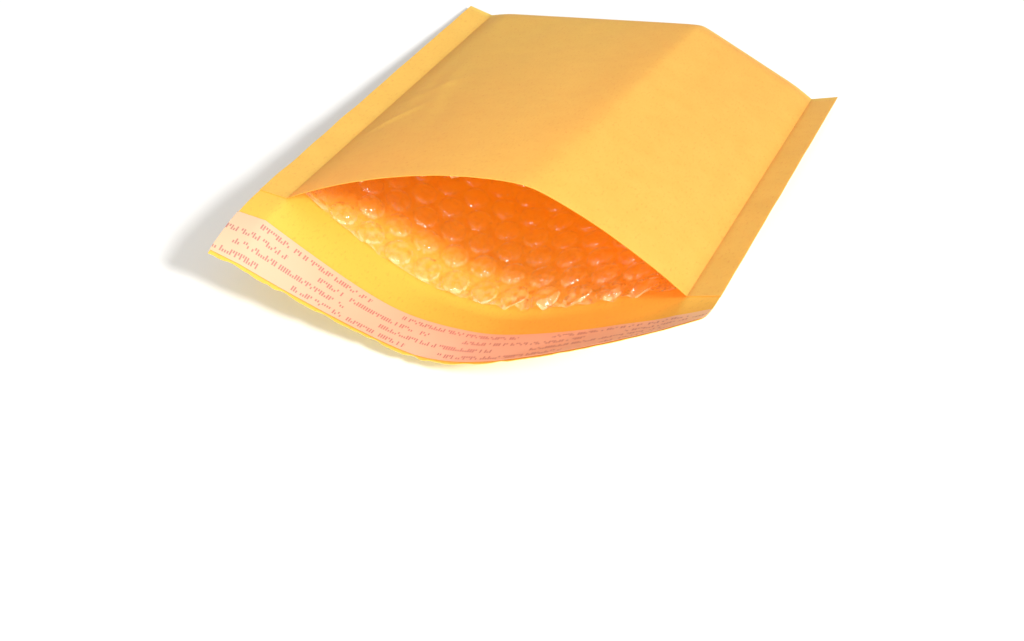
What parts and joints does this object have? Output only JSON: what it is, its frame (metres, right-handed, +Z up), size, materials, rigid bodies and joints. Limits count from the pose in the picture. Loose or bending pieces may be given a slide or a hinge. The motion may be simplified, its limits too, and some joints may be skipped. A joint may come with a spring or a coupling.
{
  "type": "bubble mailer",
  "caption": "Open padded kraft envelope with bubble-film lining and unfolded flap, for posting small goods in its lens-shaped pocket.",
  "frame": {"origin": "on the ground, under the middle of the outline seen from above", "axes": "+X across the mailer, to the right when looking in through the mouth towards the fold; +Y along it, from the flap to the closed fold; +Z up"},
  "size_m": [0.178, 0.2404, 0.062],
  "materials": {
    "kraft_paper": "matt golden kraft",
    "bubble_film": "clear glossy film",
    "hot_melt_adhesive": "tacky, translucent",
    "liner_paper": "coated, smooth"
  },
  "bodies": {
    "root": {"kraft_envelope": "kraft_paper", "bubble_lining": "bubble_film", "adhesive_strip": "hot_melt_adhesive", "release_liner": "liner_paper"}
  },
  "joints": []
}
